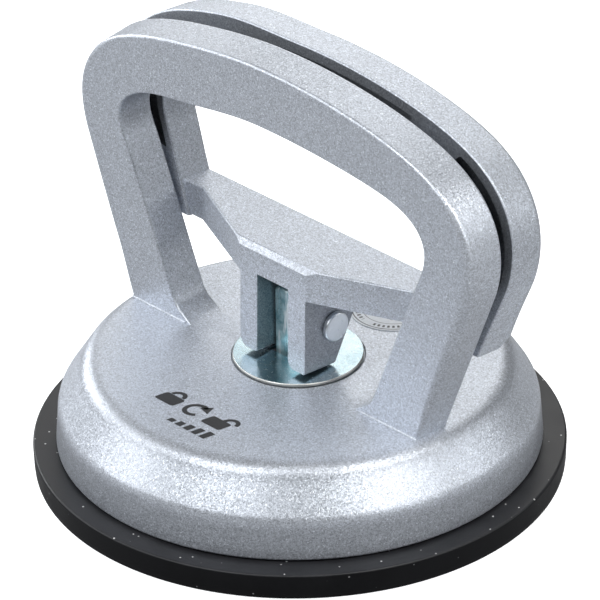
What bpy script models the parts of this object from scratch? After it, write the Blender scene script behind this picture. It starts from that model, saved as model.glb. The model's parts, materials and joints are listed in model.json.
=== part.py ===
"""Single-cup suction lifter: an aluminium bell with a fixed D handle, a second
D handle behind it that is the cam lever, and a rubber pad under the bell.

Frame: metres, +Z up. The origin is the centre of the face that rests on the
work. +X runs along the handles, -Y is the side of the fixed handle.
Lengths below are in millimetres and are multiplied by MM where they are used.
"""

import math

import bmesh
import bpy
from mathutils import Matrix, Vector
from mathutils.geometry import interpolate_bezier

MM = 0.001

# Rubber pad
PAD_R = 60.0
PAD_CREASE_R = 60.3
PAD_TOP = 6.1
PAD_FLAT_R = 44.0  # inner edge of the ring that seals on the work
PAD_SPLIT_R = 25.0  # the middle of the moulding, which the tie bar lifts
PAD_GAP = 0.3
PAD_CENTER_BOTTOM = 3.0
PAD_CENTER_TOP = 7.0

# Bell
BELL_BASE = 6.5
BELL_BASE_R = 55.0
BELL_TOP = 26.4
BELL_WALL = 3.2
SEAT_R = 15.1  # shallow seat of the cam plate
SEAT_Z = 26.0

# Fixed handle, front face towards -Y
ARCH_FRONT = -8.1
ARCH_BACK = 1.6
ARCH_FOOT_Z = 24.2
FOOT_Z = 26.4
OUTER_FOOT_X = 45.1
OUTER_SLOPE = 0.391  # how far the leg leans out, per unit of height
OUTER_BEND_Z = 64.4
OUTER_SHOULDER = (44.0, 95.0)
OUTER_SHOULDER_ANGLE = 20.0
OUTER_TOP = 101.4
INNER_FOOT_X = 26.3
INNER_FILLET = (31.3, 31.0)
INNER_SLOPE = 0.40
INNER_BEND_Z = 65.0
INNER_SHOULDER = (36.8, 82.9)
INNER_SHOULDER_ANGLE = 14.0
INNER_TOP = 86.0
EDGE_ROUND = 0.9

# Lever, in its own frame: origin on the pin, z along the lever
PIN_Y = 1.0
PIN_Z = 37.6
LEVER_TILT = 4.6  # degrees, leaning away from the fixed handle
LEVER_FRONT = 1.0
LEVER_BACK = 10.5
LEVER_DROP = 1.0  # its outline is the fixed handle's, this much lower
BAR_BOTTOM = 8.6
BAR_TOP = 16.6
WALL_START_X = 33.5  # where the slanted walls leave the crossbar
BLOCK_HALF = 10.2
BLOCK_FRONT = -7.5
BAR_BEVEL_Y = 4.7
BAR_BEVEL_Z = 3.5
LUG_BOTTOM = -10.0
LUG_HEEL = 1.0  # back end of the flat that presses on the cam plate
LUG_BACK = 7.5
LUG_LEAN = 0.4486  # how far the lug's back leans out, per unit of height
SLOT_HALF = 4.9
SLOT_TOP = 10.6

# Cored pockets in the facing sides of both handles
POCKET_WALL = 2.7
POCKET_DEPTH = 5.5
POCKET_CENTRE_Z = 50.0
TOP_POCKET = (57.0, 123.0)  # degrees round the arch
LEG_POCKET = (14.0, 49.0)

# Cam plate, tie bar and pin
CAM_R = 14.7
CAM_BOTTOM = 26.3
CAM_TOP = 27.2
CAM_SLOT_X = 5.6
CAM_SLOT_Y = 4.7
TIE_HALF_X = 4.65
TIE_HALF_Y = 3.5
TIE_TOP = 46.2
TIE_BOTTOM = 7.6
BELL_SLOT_X = 5.1
BELL_SLOT_Y = 4.0
PIN_R = 2.4
PIN_HOLE_R = 2.7
PIN_HEAD_R = 3.5
PIN_HEAD = (10.5, 11.8)
PIN_END = -13.0
WASHER = (-11.2, -10.5)
WASHER_R = 4.2
CLIP = (-12.3, -11.5)
CLIP_R = 3.9

# Insert plate, spring and label
PLATE_R = 22.0
PLATE_BOTTOM = 7.3
PLATE_TOP = 9.3
SPRING_R = 7.8
SPRING_WIRE_R = 0.8
SPRING_TURNS = 4.0
SPRING_BOTTOM = 9.7
SPRING_TOP = 22.7
LABEL_R = 10.0
LABEL_AT = (1.2, 29.0)
LABEL_BOTTOM = 26.5
LABEL_TOP = 26.7


def clear_scene():
    for obj in list(bpy.data.objects):
        bpy.data.objects.remove(obj, do_unlink=True)


def new_collection(name):
    collection = bpy.data.collections.new(name)
    bpy.context.scene.collection.children.link(collection)
    return collection


clear_scene()
PARTS = new_collection("suction_lifter")
TOOLS = new_collection("cutters")
TOOLS.hide_render = True


def finish(name, rgb, metallic, roughness):
    mat = bpy.data.materials.new(name)
    mat.use_nodes = True
    shader = mat.node_tree.nodes["Principled BSDF"]
    shader.inputs["Base Color"].default_value = (*rgb, 1.0)
    shader.inputs["Metallic"].default_value = metallic
    shader.inputs["Roughness"].default_value = roughness
    mat.diffuse_color = (*rgb, 1.0)
    return mat


def as_part(obj, mat):
    """Puts an object among the parts and gives it its material."""
    for collection in list(obj.users_collection):
        collection.objects.unlink(obj)
    PARTS.objects.link(obj)
    obj.data.materials.clear()
    obj.data.materials.append(mat)
    return obj


def as_tool(obj):
    """Puts an object among the helpers that Booleans use."""
    for collection in list(obj.users_collection):
        collection.objects.unlink(obj)
    TOOLS.objects.link(obj)
    obj.hide_render = True
    obj.display_type = "WIRE"
    return obj


def smooth(obj, degrees=35.0):
    obj.data.shade_smooth()
    obj.data.set_sharp_from_angle(angle=math.radians(degrees))
    return obj


def boolean(obj, other, operation):
    modifier = obj.modifiers.new(other.name, "BOOLEAN")
    modifier.operation = operation
    modifier.object = other
    modifier.solver = "EXACT"
    return obj


def settle(obj):
    """Applies every modifier of an object, so its mesh is the finished shape."""
    bpy.context.view_layer.update()
    graph = bpy.context.evaluated_depsgraph_get()
    mesh = bpy.data.meshes.new_from_object(obj.evaluated_get(graph))
    obj.modifiers.clear()
    old = obj.data
    obj.data = mesh
    mesh.name = obj.name
    bpy.data.meshes.remove(old)
    return obj


def turned(name, profile, steps, centre=(0.0, 0.0)):
    """A solid of revolution about Z from (radius, height) points, outer side first, top to bottom."""
    mesh = bpy.data.meshes.new(name)
    points = [(r * MM, 0.0, z * MM) for r, z in profile]
    edges = [(i, i + 1) for i in range(len(points) - 1)]
    if profile[0][0] > 0.0:
        edges.append((len(points) - 1, 0))
    mesh.from_pydata(points, edges, [])
    obj = bpy.data.objects.new(name, mesh)
    bpy.context.scene.collection.objects.link(obj)
    obj.location = (centre[0] * MM, centre[1] * MM, 0.0)
    screw = obj.modifiers.new("turn", "SCREW")
    screw.axis = "Z"
    screw.steps = steps
    screw.render_steps = steps
    screw.use_merge_vertices = True
    screw.merge_threshold = 0.00001
    return settle(obj)


FACING = {
    "z": Matrix.Identity(4),  # loops are (x, y)
    "y": Matrix.Rotation(math.radians(90.0), 4, "X"),  # loops are (x, z)
    "x": Matrix(((0, 0, 1, 0), (1, 0, 0, 0), (0, 1, 0, 0), (0, 0, 0, 1))),  # loops are (y, z)
}


def sheet(name, loops, thickness, facing):
    """A plate with the outline and holes in loops, its thickness along one axis and centred on the origin."""
    curve = bpy.data.curves.new(name, "CURVE")
    curve.dimensions = "2D"
    curve.fill_mode = "BOTH"
    curve.extrude = thickness * MM / 2
    for loop in loops:
        spline = curve.splines.new("POLY")
        spline.points.add(len(loop) - 1)
        for point, (a, b) in zip(spline.points, loop):
            point.co = (a * MM, b * MM, 0.0, 1.0)
        spline.use_cyclic_u = True
    guide = bpy.data.objects.new(name + "_curve", curve)
    bpy.context.scene.collection.objects.link(guide)
    guide.matrix_world = FACING[facing]
    bpy.context.view_layer.update()
    graph = bpy.context.evaluated_depsgraph_get()
    mesh = bpy.data.meshes.new_from_object(guide.evaluated_get(graph))
    mesh.transform(guide.matrix_world)
    bpy.data.objects.remove(guide)
    work = bmesh.new()
    work.from_mesh(mesh)
    bmesh.ops.remove_doubles(work, verts=work.verts, dist=0.000001)
    bmesh.ops.recalc_face_normals(work, faces=work.faces)
    work.to_mesh(mesh)
    work.free()
    mesh.name = name
    obj = bpy.data.objects.new(name, mesh)
    bpy.context.scene.collection.objects.link(obj)
    return obj


def block(name, low, high):
    """A box between two corners, with its origin in its middle."""
    work = bmesh.new()
    bmesh.ops.create_cube(work, size=1.0)
    size = [(h - l) * MM for l, h in zip(low, high)]
    bmesh.ops.scale(work, vec=Vector(size), verts=work.verts)
    mesh = bpy.data.meshes.new(name)
    work.to_mesh(mesh)
    work.free()
    obj = bpy.data.objects.new(name, mesh)
    bpy.context.scene.collection.objects.link(obj)
    obj.location = [(h + l) * MM / 2 for l, h in zip(low, high)]
    return obj


def rod(name, radius, x_range, y, z, sides=32):
    """A cylinder along X."""
    work = bmesh.new()
    bmesh.ops.create_cone(
        work, cap_ends=True, segments=sides, radius1=radius * MM,
        radius2=radius * MM, depth=(x_range[1] - x_range[0]) * MM,
    )
    mesh = bpy.data.meshes.new(name)
    work.to_mesh(mesh)
    work.free()
    obj = bpy.data.objects.new(name, mesh)
    bpy.context.scene.collection.objects.link(obj)
    obj.rotation_euler = (0.0, math.radians(90.0), 0.0)
    obj.location = ((x_range[0] + x_range[1]) * MM / 2, y * MM, z * MM)
    return obj


def round_edges(obj, width, segments=2, angle=50.0):
    bevel = obj.modifiers.new("round", "BEVEL")
    bevel.width = width * MM
    bevel.segments = segments
    bevel.limit_method = "ANGLE"
    bevel.angle_limit = math.radians(angle)
    bevel.use_clamp_overlap = True
    return obj


def cubic(a, b, c, d, count):
    """Points along a Bezier segment, without the first."""
    ends = [Vector((*p, 0.0)) for p in (a, b, c, d)]
    return [(p.x, p.y) for p in interpolate_bezier(*ends, count + 1)[1:]]


def half_edge(foot, slope, bend_z, lead, shoulder, angle, reach, crown_lead, crown_reach, top):
    """One edge of the arch from its foot up to the middle of the top, at +X."""
    bend = (foot[0] + (bend_z - foot[1]) * slope, bend_z)
    along = Vector((slope, 1.0)).normalized()
    back = Vector((math.cos(math.radians(angle)), -math.sin(math.radians(angle))))
    first = cubic(
        bend, (bend[0] + lead * along.x, bend[1] + lead * along.y),
        (shoulder[0] + reach * back.x, shoulder[1] + reach * back.y), shoulder, 10,
    )
    second = cubic(
        shoulder, (shoulder[0] - crown_lead * back.x, shoulder[1] - crown_lead * back.y),
        (crown_reach, top), (0.0, top), 6,
    )
    return [foot, bend] + first + second


OUTER = half_edge(
    (OUTER_FOOT_X, FOOT_Z), OUTER_SLOPE, OUTER_BEND_Z, 6.0,
    OUTER_SHOULDER, OUTER_SHOULDER_ANGLE, 23.0, 12.0, 16.0, OUTER_TOP,
)
INNER = half_edge(
    INNER_FILLET, INNER_SLOPE, INNER_BEND_Z, 3.5,
    INNER_SHOULDER, INNER_SHOULDER_ANGLE, 16.5, 6.0, 14.0, INNER_TOP,
)


def whole(half):
    """Both halves of an edge, from the +X foot over the top to the -X foot."""
    return half + [(-x, z) for x, z in reversed(half[:-1])]


def across(half, degrees):
    """Where a ray from the middle of the arch meets an edge, at +X."""
    turn = math.radians(degrees)
    ray = (math.cos(turn), math.sin(turn))
    side = [x * ray[1] - (z - POCKET_CENTRE_Z) * ray[0] for x, z in half]
    for (p, q), (u, v) in zip(zip(half, half[1:]), zip(side, side[1:])):
        if u * v <= 0.0 and u != v:
            share = u / (u - v)
            hit = (p[0] + (q[0] - p[0]) * share, p[1] + (q[1] - p[1]) * share)
            if hit[0] * ray[0] + (hit[1] - POCKET_CENTRE_Z) * ray[1] > 0.0:
                return Vector(hit)
    return Vector(half[-1])


def pocket_loop(start, end, steps):
    """The outline of a pocket between two angles, a wall's width inside both edges."""
    outer, inner = [], []
    for i in range(steps + 1):
        angle = start + (end - start) * i / steps
        mirrored = angle > 90.0
        near = 180.0 - angle if mirrored else angle
        far, close = across(OUTER, near), across(INNER, near)
        way = (close - far).normalized()
        a, b = far + way * POCKET_WALL, close - way * POCKET_WALL
        sign = -1.0 if mirrored else 1.0
        outer.append((sign * a.x, a.y))
        inner.append((sign * b.x, b.y))
    return outer + inner[::-1]


def pockets(name, drop):
    """The three pocket shapes as one list of tools, standing on their middle plane."""
    spans = (TOP_POCKET, LEG_POCKET, (180.0 - LEG_POCKET[1], 180.0 - LEG_POCKET[0]))
    made = []
    for number, (start, end) in enumerate(spans):
        loop = [(x, z - drop) for x, z in pocket_loop(start, end, 12)]
        made.append(as_tool(sheet(f"{name}_{number}", [loop], 2 * POCKET_DEPTH, "y")))
    return made


# Materials
cast_paint = finish("silver_cast_paint", (0.60, 0.61, 0.63), 0.55, 0.45)
lever_paint = finish("silver_cast_paint_lever", (0.60, 0.61, 0.63), 0.55, 0.45)
zinc = finish("zinc_plate", (0.55, 0.62, 0.65), 1.0, 0.22)
zinc_bar = finish("zinc_tie_bar", (0.55, 0.62, 0.65), 1.0, 0.28)
steel_pin = finish("steel_pin", (0.66, 0.68, 0.70), 1.0, 0.25)
steel_washer = finish("steel_washer", (0.60, 0.62, 0.64), 1.0, 0.3)
spring_clip_steel = finish("clip_steel", (0.35, 0.36, 0.38), 1.0, 0.35)
spring_steel = finish("spring_steel", (0.45, 0.46, 0.48), 1.0, 0.3)
plate_steel = finish("insert_steel", (0.5, 0.51, 0.53), 1.0, 0.35)
rubber_rim = finish("pad_rubber", (0.022, 0.022, 0.024), 0.0, 0.6)
rubber_center = finish("pad_rubber_center", (0.022, 0.022, 0.024), 0.0, 0.6)
label_paper = finish("label_paper", (0.82, 0.82, 0.80), 0.0, 0.5)

# ---------------------------------------------------------------- housing
bell_profile = [
    (0.0, SEAT_Z), (SEAT_R, SEAT_Z), (SEAT_R, BELL_TOP), (46.0, BELL_TOP),
    (48.2, 25.9), (50.3, 23.6), (52.6, 19.6), (54.0, 16.6), (54.4, 14.6),
    (BELL_BASE_R, BELL_BASE), (BELL_BASE_R - BELL_WALL, BELL_BASE),
    (51.3, 14.0), (50.6, 16.2), (47.6, 21.6), (45.6, BELL_TOP - BELL_WALL),
    (0.0, BELL_TOP - BELL_WALL),
]
housing = as_part(turned("housing", bell_profile, 96), cast_paint)

foot = [(OUTER_FOOT_X - (FOOT_Z - ARCH_FOOT_Z) * OUTER_SLOPE, ARCH_FOOT_Z)]
fillet = cubic(
    (INNER_FOOT_X, ARCH_FOOT_Z), (INNER_FOOT_X + 0.6, FOOT_Z),
    (INNER_FILLET[0] - 1.4, INNER_FILLET[1] - 3.4), INNER_FILLET, 4,
)[:-1]
outer_edge = foot + OUTER
inner_edge = [(INNER_FOOT_X, ARCH_FOOT_Z)] + fillet + INNER
arch_loop = whole(outer_edge) + list(reversed(whole(inner_edge)))
arch = sheet("fixed_handle", [arch_loop], ARCH_BACK - ARCH_FRONT, "y")
arch.location.y = (ARCH_FRONT + ARCH_BACK) * MM / 2
round_edges(arch, EDGE_ROUND)
settle(arch)
as_tool(arch)
for tool in pockets("fixed_pocket", 0.0):
    tool.location.y = ARCH_BACK * MM
    boolean(arch, tool, "DIFFERENCE")
settle(arch)
boolean(housing, arch, "UNION")
slot = as_tool(block(
    "bell_slot", (-BELL_SLOT_X, PIN_Y - BELL_SLOT_Y, 15.0),
    (BELL_SLOT_X, PIN_Y + BELL_SLOT_Y, 35.0),
))
boolean(housing, slot, "DIFFERENCE")
settle(housing)
smooth(housing)

# ---------------------------------------------------------------- lever
lever_axis = bpy.data.objects.new("lever_axis", None)
PARTS.objects.link(lever_axis)
lever_axis.location = (0.0, PIN_Y * MM, PIN_Z * MM)
lever_axis.rotation_euler = (math.radians(-LEVER_TILT), 0.0, 0.0)


def in_lever(obj):
    obj.parent = lever_axis
    return obj


def lowered(loop):
    """A loop of the fixed handle's outline, in the lever's frame."""
    return [(x, z - LEVER_DROP - PIN_Z) for x, z in loop]


def at_height(half, z):
    """The edge's x at a height on its straight leg."""
    (x0, z0), (x1, z1) = half[0], half[1]
    return x0 + (z - z0) * (x1 - x0) / (z1 - z0)


low_outer = PIN_Z + BAR_BOTTOM + LEVER_DROP
low_inner = PIN_Z + BAR_TOP + LEVER_DROP
lever_outer = [(at_height(OUTER, low_outer), low_outer)] + OUTER[1:]
lever_inner = [(at_height(INNER, low_inner), low_inner)] + INNER[1:]
lever_loop = lowered(whole(lever_outer))
lever_hole = lowered(whole(lever_inner))
lever = sheet("lever", [lever_loop, lever_hole], LEVER_BACK - LEVER_FRONT, "y")
for vertex in lever.data.vertices:
    vertex.co.y += (LEVER_FRONT + LEVER_BACK) * MM / 2
round_edges(lever, EDGE_ROUND)
settle(lever)
as_part(in_lever(lever), lever_paint)

for tool in pockets("lever_pocket", LEVER_DROP + PIN_Z):
    in_lever(tool).location.y = LEVER_FRONT * MM
    boolean(lever, tool, "DIFFERENCE")
settle(lever)

# The walls that slant forward from the crossbar to the centre block, from above.
bar_loop = [
    (-WALL_START_X, LEVER_FRONT + 3.0), (-WALL_START_X, LEVER_FRONT),
    (-BLOCK_HALF + 0.1, BLOCK_FRONT + 0.1), (BLOCK_HALF - 0.1, BLOCK_FRONT + 0.1),
    (WALL_START_X, LEVER_FRONT), (WALL_START_X, LEVER_FRONT + 3.0),
]
bar = sheet("crossbar_walls", [bar_loop], BAR_TOP - BAR_BOTTOM - 0.3, "z")
in_lever(bar).location.z = (BAR_TOP + BAR_BOTTOM) * MM / 2
as_tool(bar)
boolean(lever, bar, "UNION")
settle(lever)

# The lugs and the block over them, seen from the side and extruded along X.
lug_loop = [
    (BLOCK_FRONT, BAR_TOP - 0.8), (BLOCK_FRONT, LUG_BOTTOM),
    (LUG_HEEL, LUG_BOTTOM), (LUG_BACK, LUG_BOTTOM + (LUG_BACK - LUG_HEEL) / LUG_LEAN),
    (LUG_BACK, BAR_TOP - 0.8),
]
lugs = sheet("lugs", [lug_loop], 2 * BLOCK_HALF, "x")
in_lever(lugs)
round_edges(lugs, 0.5)
settle(lugs)
as_tool(lugs)
boolean(lever, lugs, "UNION")
settle(lever)
lug_slot = as_tool(in_lever(block(
    "lug_slot", (-SLOT_HALF, -30.0, LUG_BOTTOM - 10.0), (SLOT_HALF, 30.0, SLOT_TOP),
)))
boolean(lever, lug_slot, "DIFFERENCE")
lug_bore = as_tool(in_lever(rod("lug_bore", PIN_HOLE_R, (-20.0, 20.0), 0.0, 0.0)))
boolean(lever, lug_bore, "DIFFERENCE")

# The back of the crossbar's underside is cut away so the lever can lie down.
relief_loop = [
    (LEVER_BACK - BAR_BEVEL_Y, BAR_BOTTOM - 0.5), (LEVER_BACK + 1.0, BAR_BOTTOM - 0.5),
    (LEVER_BACK + 1.0, BAR_BOTTOM + BAR_BEVEL_Z + 0.745),
]
relief = as_tool(in_lever(sheet("relief", [relief_loop], 2 * PAD_R, "x")))
boolean(lever, relief, "DIFFERENCE")
settle(lever)
smooth(lever)

# ---------------------------------------------------------------- cam plate
cam_profile = [
    (0.0, CAM_TOP), (CAM_R - 0.3, CAM_TOP), (CAM_R, CAM_TOP - 0.3),
    (CAM_R, CAM_BOTTOM), (0.0, CAM_BOTTOM),
]
cam_plate = as_part(turned("cam_plate", cam_profile, 64), zinc)
cam_slot = as_tool(block(
    "cam_slot", (-CAM_SLOT_X, PIN_Y - CAM_SLOT_Y, 20.0),
    (CAM_SLOT_X, PIN_Y + CAM_SLOT_Y, 35.0),
))
boolean(cam_plate, cam_slot, "DIFFERENCE")
settle(cam_plate)
smooth(cam_plate)

# ---------------------------------------------------------------- tie bar and pin
tie_bar = block(
    "tie_bar", (-TIE_HALF_X, PIN_Y - TIE_HALF_Y, TIE_BOTTOM),
    (TIE_HALF_X, PIN_Y + TIE_HALF_Y, TIE_TOP),
)
round_edges(tie_bar, 1.4, 3)
settle(tie_bar)
as_part(tie_bar, zinc_bar)
tie_bore = as_tool(rod("tie_bore", PIN_HOLE_R, (-20.0, 20.0), PIN_Y, PIN_Z))
boolean(tie_bar, tie_bore, "DIFFERENCE")
settle(tie_bar)
smooth(tie_bar)


def along_x(name, profile, steps, mat):
    """A turned piece on the pin's axis from (radius, x) points, +X end first."""
    obj = turned(name, profile, steps)
    obj.rotation_euler = (0.0, math.radians(90.0), 0.0)
    obj.location = (0.0, PIN_Y * MM, PIN_Z * MM)
    return smooth(as_part(obj, mat))


along_x("pivot_pin", [
    (0.0, PIN_HEAD[1]), (PIN_HEAD_R - 0.4, PIN_HEAD[1]), (PIN_HEAD_R, PIN_HEAD[1] - 0.4),
    (PIN_HEAD_R, PIN_HEAD[0]), (PIN_R, PIN_HEAD[0]), (PIN_R, PIN_END + 0.4),
    (PIN_R - 0.4, PIN_END), (0.0, PIN_END),
], 32, steel_pin)
along_x("pin_washer", [
    (WASHER_R, WASHER[1]), (WASHER_R, WASHER[0]), (PIN_HOLE_R, WASHER[0]),
    (PIN_HOLE_R, WASHER[1]),
], 32, steel_washer)
along_x("retaining_clip", [
    (CLIP_R - 0.3, CLIP[1]), (CLIP_R, CLIP[1] - 0.3), (CLIP_R, CLIP[0] + 0.3),
    (CLIP_R - 0.3, CLIP[0]), (PIN_HOLE_R, CLIP[0]), (PIN_HOLE_R, CLIP[1]),
], 32, spring_clip_steel)

# ---------------------------------------------------------------- pad
rim_profile = [
    (PAD_SPLIT_R + PAD_GAP, PAD_TOP), (47.6, PAD_TOP), (47.6, 9.4), (48.2, 10.0),
    (50.4, 10.0), (51.0, 9.4), (51.2, PAD_TOP), (PAD_CREASE_R - 0.6, PAD_TOP),
    (PAD_CREASE_R, PAD_TOP - 0.6), (PAD_CREASE_R - 0.2, 1.2), (PAD_R, 0.0),
    (PAD_FLAT_R, 0.0), (PAD_SPLIT_R + PAD_GAP, PAD_CENTER_BOTTOM - 0.6),
]
pad_rim = as_part(turned("pad_rim", rim_profile, 96), rubber_rim)
smooth(pad_rim)
center_profile = [
    (0.0, PAD_CENTER_TOP), (PLATE_R + 0.6, PAD_CENTER_TOP), (PAD_SPLIT_R, PAD_CENTER_TOP - 1.2),
    (PAD_SPLIT_R, PAD_CENTER_BOTTOM), (0.0, PAD_CENTER_BOTTOM),
]
pad_center = as_part(turned("pad_center", center_profile, 64), rubber_center)
smooth(pad_center)

plate_profile = [
    (0.0, PLATE_TOP), (PLATE_R - 0.3, PLATE_TOP), (PLATE_R, PLATE_TOP - 0.3),
    (PLATE_R, PLATE_BOTTOM), (0.0, PLATE_BOTTOM),
]
insert_plate = as_part(turned("insert_plate", plate_profile, 64), plate_steel)
plate_slot = as_tool(block(
    "plate_slot", (-TIE_HALF_X - 0.3, PIN_Y - TIE_HALF_Y - 0.3, 0.0),
    (TIE_HALF_X + 0.3, PIN_Y + TIE_HALF_Y + 0.3, 20.0),
))
boolean(insert_plate, plate_slot, "DIFFERENCE")
settle(insert_plate)
smooth(insert_plate)

# ---------------------------------------------------------------- spring
def coil(name, radius, wire, turns, bottom, top, centre, per_turn=20):
    """A compression spring whose end turns lie flat."""
    curve = bpy.data.curves.new(name, "CURVE")
    curve.dimensions = "3D"
    curve.bevel_depth = wire * MM
    curve.bevel_resolution = 2
    curve.use_fill_caps = True
    spline = curve.splines.new("POLY")
    count = round(turns * per_turn)
    low, high = bottom + wire, top - wire
    pitch = 2 * wire + 0.25
    spline.points.add(count)
    for i, point in enumerate(spline.points):
        turn = i / per_turn
        middle = (turn - 0.75) / (turns - 1.5)
        if turn < 0.75:
            rise = pitch * turn
        elif turn > turns - 0.75:
            rise = (high - low) - pitch * (turns - turn)
        else:
            start, stop = 0.75 * pitch, (high - low) - 0.75 * pitch
            rise = start + (stop - start) * middle
        angle = 2 * math.pi * turn
        point.co = (
            (centre[0] + radius * math.cos(angle)) * MM,
            (centre[1] + radius * math.sin(angle)) * MM,
            (low + rise) * MM, 1.0,
        )
    guide = bpy.data.objects.new(name + "_curve", curve)
    bpy.context.scene.collection.objects.link(guide)
    bpy.context.view_layer.update()
    graph = bpy.context.evaluated_depsgraph_get()
    mesh = bpy.data.meshes.new_from_object(guide.evaluated_get(graph))
    bpy.data.objects.remove(guide)
    work = bmesh.new()
    work.from_mesh(mesh)
    bmesh.ops.remove_doubles(work, verts=work.verts, dist=0.000001)
    bmesh.ops.recalc_face_normals(work, faces=work.faces)
    work.to_mesh(mesh)
    work.free()
    mesh.name = name
    obj = bpy.data.objects.new(name, mesh)
    bpy.context.scene.collection.objects.link(obj)
    return obj


spring = coil(
    "return_spring", SPRING_R, SPRING_WIRE_R, SPRING_TURNS,
    SPRING_BOTTOM, SPRING_TOP, (0.0, PIN_Y),
)
smooth(as_part(spring, spring_steel))

# ---------------------------------------------------------------- label
label = turned("rating_label", [
    (0.0, LABEL_TOP), (LABEL_R, LABEL_TOP), (LABEL_R, LABEL_BOTTOM), (0.0, LABEL_BOTTOM),
], 48, LABEL_AT)
smooth(as_part(label, label_paper))
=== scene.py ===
"""Looks for the single-cup suction lifter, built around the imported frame.

The cup stands on z = 0 with its axis on Z. The fixed handle is an arch across X that
rises from the bell; the lever is a second arch behind it (+Y) that swings on a pin along X.
The front is -Y. Shapes are in millimetres, and MM turns them into metres; materials,
lights and the camera are in metres.
"""

import json
import math
from functools import cached_property

import bmesh
import bpy
from mathutils import Matrix, Vector


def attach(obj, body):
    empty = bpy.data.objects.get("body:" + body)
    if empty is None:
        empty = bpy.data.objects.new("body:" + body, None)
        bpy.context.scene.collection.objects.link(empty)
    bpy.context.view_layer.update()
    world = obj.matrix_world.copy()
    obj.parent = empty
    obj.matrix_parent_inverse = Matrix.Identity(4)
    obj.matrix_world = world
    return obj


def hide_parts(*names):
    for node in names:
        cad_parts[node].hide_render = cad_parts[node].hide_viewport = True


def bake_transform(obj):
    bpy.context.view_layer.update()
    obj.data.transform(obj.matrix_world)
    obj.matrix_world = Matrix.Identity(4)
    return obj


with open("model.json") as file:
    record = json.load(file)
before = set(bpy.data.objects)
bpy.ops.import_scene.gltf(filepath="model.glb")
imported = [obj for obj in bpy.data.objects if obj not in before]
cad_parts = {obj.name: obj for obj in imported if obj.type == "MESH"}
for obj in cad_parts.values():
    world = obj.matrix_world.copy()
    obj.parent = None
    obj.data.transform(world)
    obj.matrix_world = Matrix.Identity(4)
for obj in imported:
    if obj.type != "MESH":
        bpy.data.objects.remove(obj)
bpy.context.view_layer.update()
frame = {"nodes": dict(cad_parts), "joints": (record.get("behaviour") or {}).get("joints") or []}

MM = 0.001

# The lever's pin, and how far the lever leans back from upright at rest (degrees).
HINGE = next(j for j in frame["joints"] if j["type"] == "hinge")
PIN_Y, PIN_Z = [v / MM for v in HINGE["pos_m"][1:]]
LEVER_TILT = 4.6
TO_PIN = Matrix.Translation(Vector((0.0, PIN_Y, PIN_Z)) * MM)
ALONG_X = Matrix.Rotation(math.radians(90.0), 4, "Y")
BORE_RADIUS = 2.7

BELL_TOP = 26.4
ARCH_FRONT, ARCH_BACK = -8.1, 1.6

# --------------------------------------------------------------------------
# mesh helpers
# --------------------------------------------------------------------------


def link(obj):
    bpy.context.scene.collection.objects.link(obj)
    return obj


def mesh_object(name, verts, faces):
    mesh = bpy.data.meshes.new(name)
    mesh.from_pydata([Vector(v) * MM for v in verts], [], faces)
    mesh.update()
    work = bmesh.new()
    work.from_mesh(mesh)
    bmesh.ops.recalc_face_normals(work, faces=work.faces)
    work.to_mesh(mesh)
    work.free()
    return link(bpy.data.objects.new(name, mesh))


def settle(obj):
    """Applies the object's modifiers."""
    bpy.context.view_layer.update()
    graph = bpy.context.evaluated_depsgraph_get()
    mesh = bpy.data.meshes.new_from_object(obj.evaluated_get(graph))
    obj.modifiers.clear()
    old = obj.data
    obj.data = mesh
    bpy.data.meshes.remove(old)
    mesh.name = obj.name


def boolean(obj, other, operation):
    modifier = obj.modifiers.new(other.name, "BOOLEAN")
    modifier.operation = operation
    modifier.object = other
    modifier.solver = "EXACT"
    if other.data.materials:
        modifier.material_mode = "TRANSFER"
    settle(obj)
    bpy.data.objects.remove(other, do_unlink=True)


def tag_material(name):
    return bpy.data.materials.get(name) or bpy.data.materials.new(name)


def tag(obj, name):
    """Marks a shape so that its faces can be dressed apart once it is cut into another."""
    obj.data.materials.clear()
    obj.data.materials.append(tag_material(name))
    return obj


def mark_faces(obj, name, test):
    """Gives a tag to the painted faces that test(normal, centre in millimetres) chooses."""
    obj.data.materials.append(tag_material(name))
    slot = len(obj.data.materials) - 1
    paint = obj.data.materials.find("tag_paint")
    for face in obj.data.polygons:
        if face.material_index == paint and test(face.normal, face.center / MM):
            face.material_index = slot


def tidy(obj, dist=0.004):
    """Welds the slivers that Booleans leave."""
    work = bmesh.new()
    work.from_mesh(obj.data)
    bmesh.ops.remove_doubles(work, verts=work.verts, dist=dist * MM)
    bmesh.ops.dissolve_degenerate(work, edges=work.edges, dist=dist * MM / 2)
    work.to_mesh(obj.data)
    work.free()


def shade(obj, degrees=40.0):
    """Smooth shading, with edges sharper than the angle kept."""
    obj.data.shade_smooth()
    obj.data.set_sharp_from_angle(angle=math.radians(degrees))
    modifier = obj.modifiers.new("normals", "WEIGHTED_NORMAL")
    modifier.mode = "FACE_AREA"
    modifier.weight = 80
    modifier.keep_sharp = True
    settle(obj)
    return obj


def bevel_edges(obj, width, segments, pick, sharper_than=60.0):
    """Rounds the sharp edges that pick(both ends in millimetres) chooses."""
    work = bmesh.new()
    work.from_mesh(obj.data)
    limit = math.radians(sharper_than)
    chosen = [
        edge for edge in work.edges
        if len(edge.link_faces) == 2 and edge.calc_face_angle(0.0) > limit
        and pick([v.co / MM for v in edge.verts])
    ]
    bmesh.ops.bevel(
        work, geom=chosen, offset=width * MM, segments=segments, profile=0.5,
        affect="EDGES", clamp_overlap=True,
    )
    work.to_mesh(obj.data)
    work.free()


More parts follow.
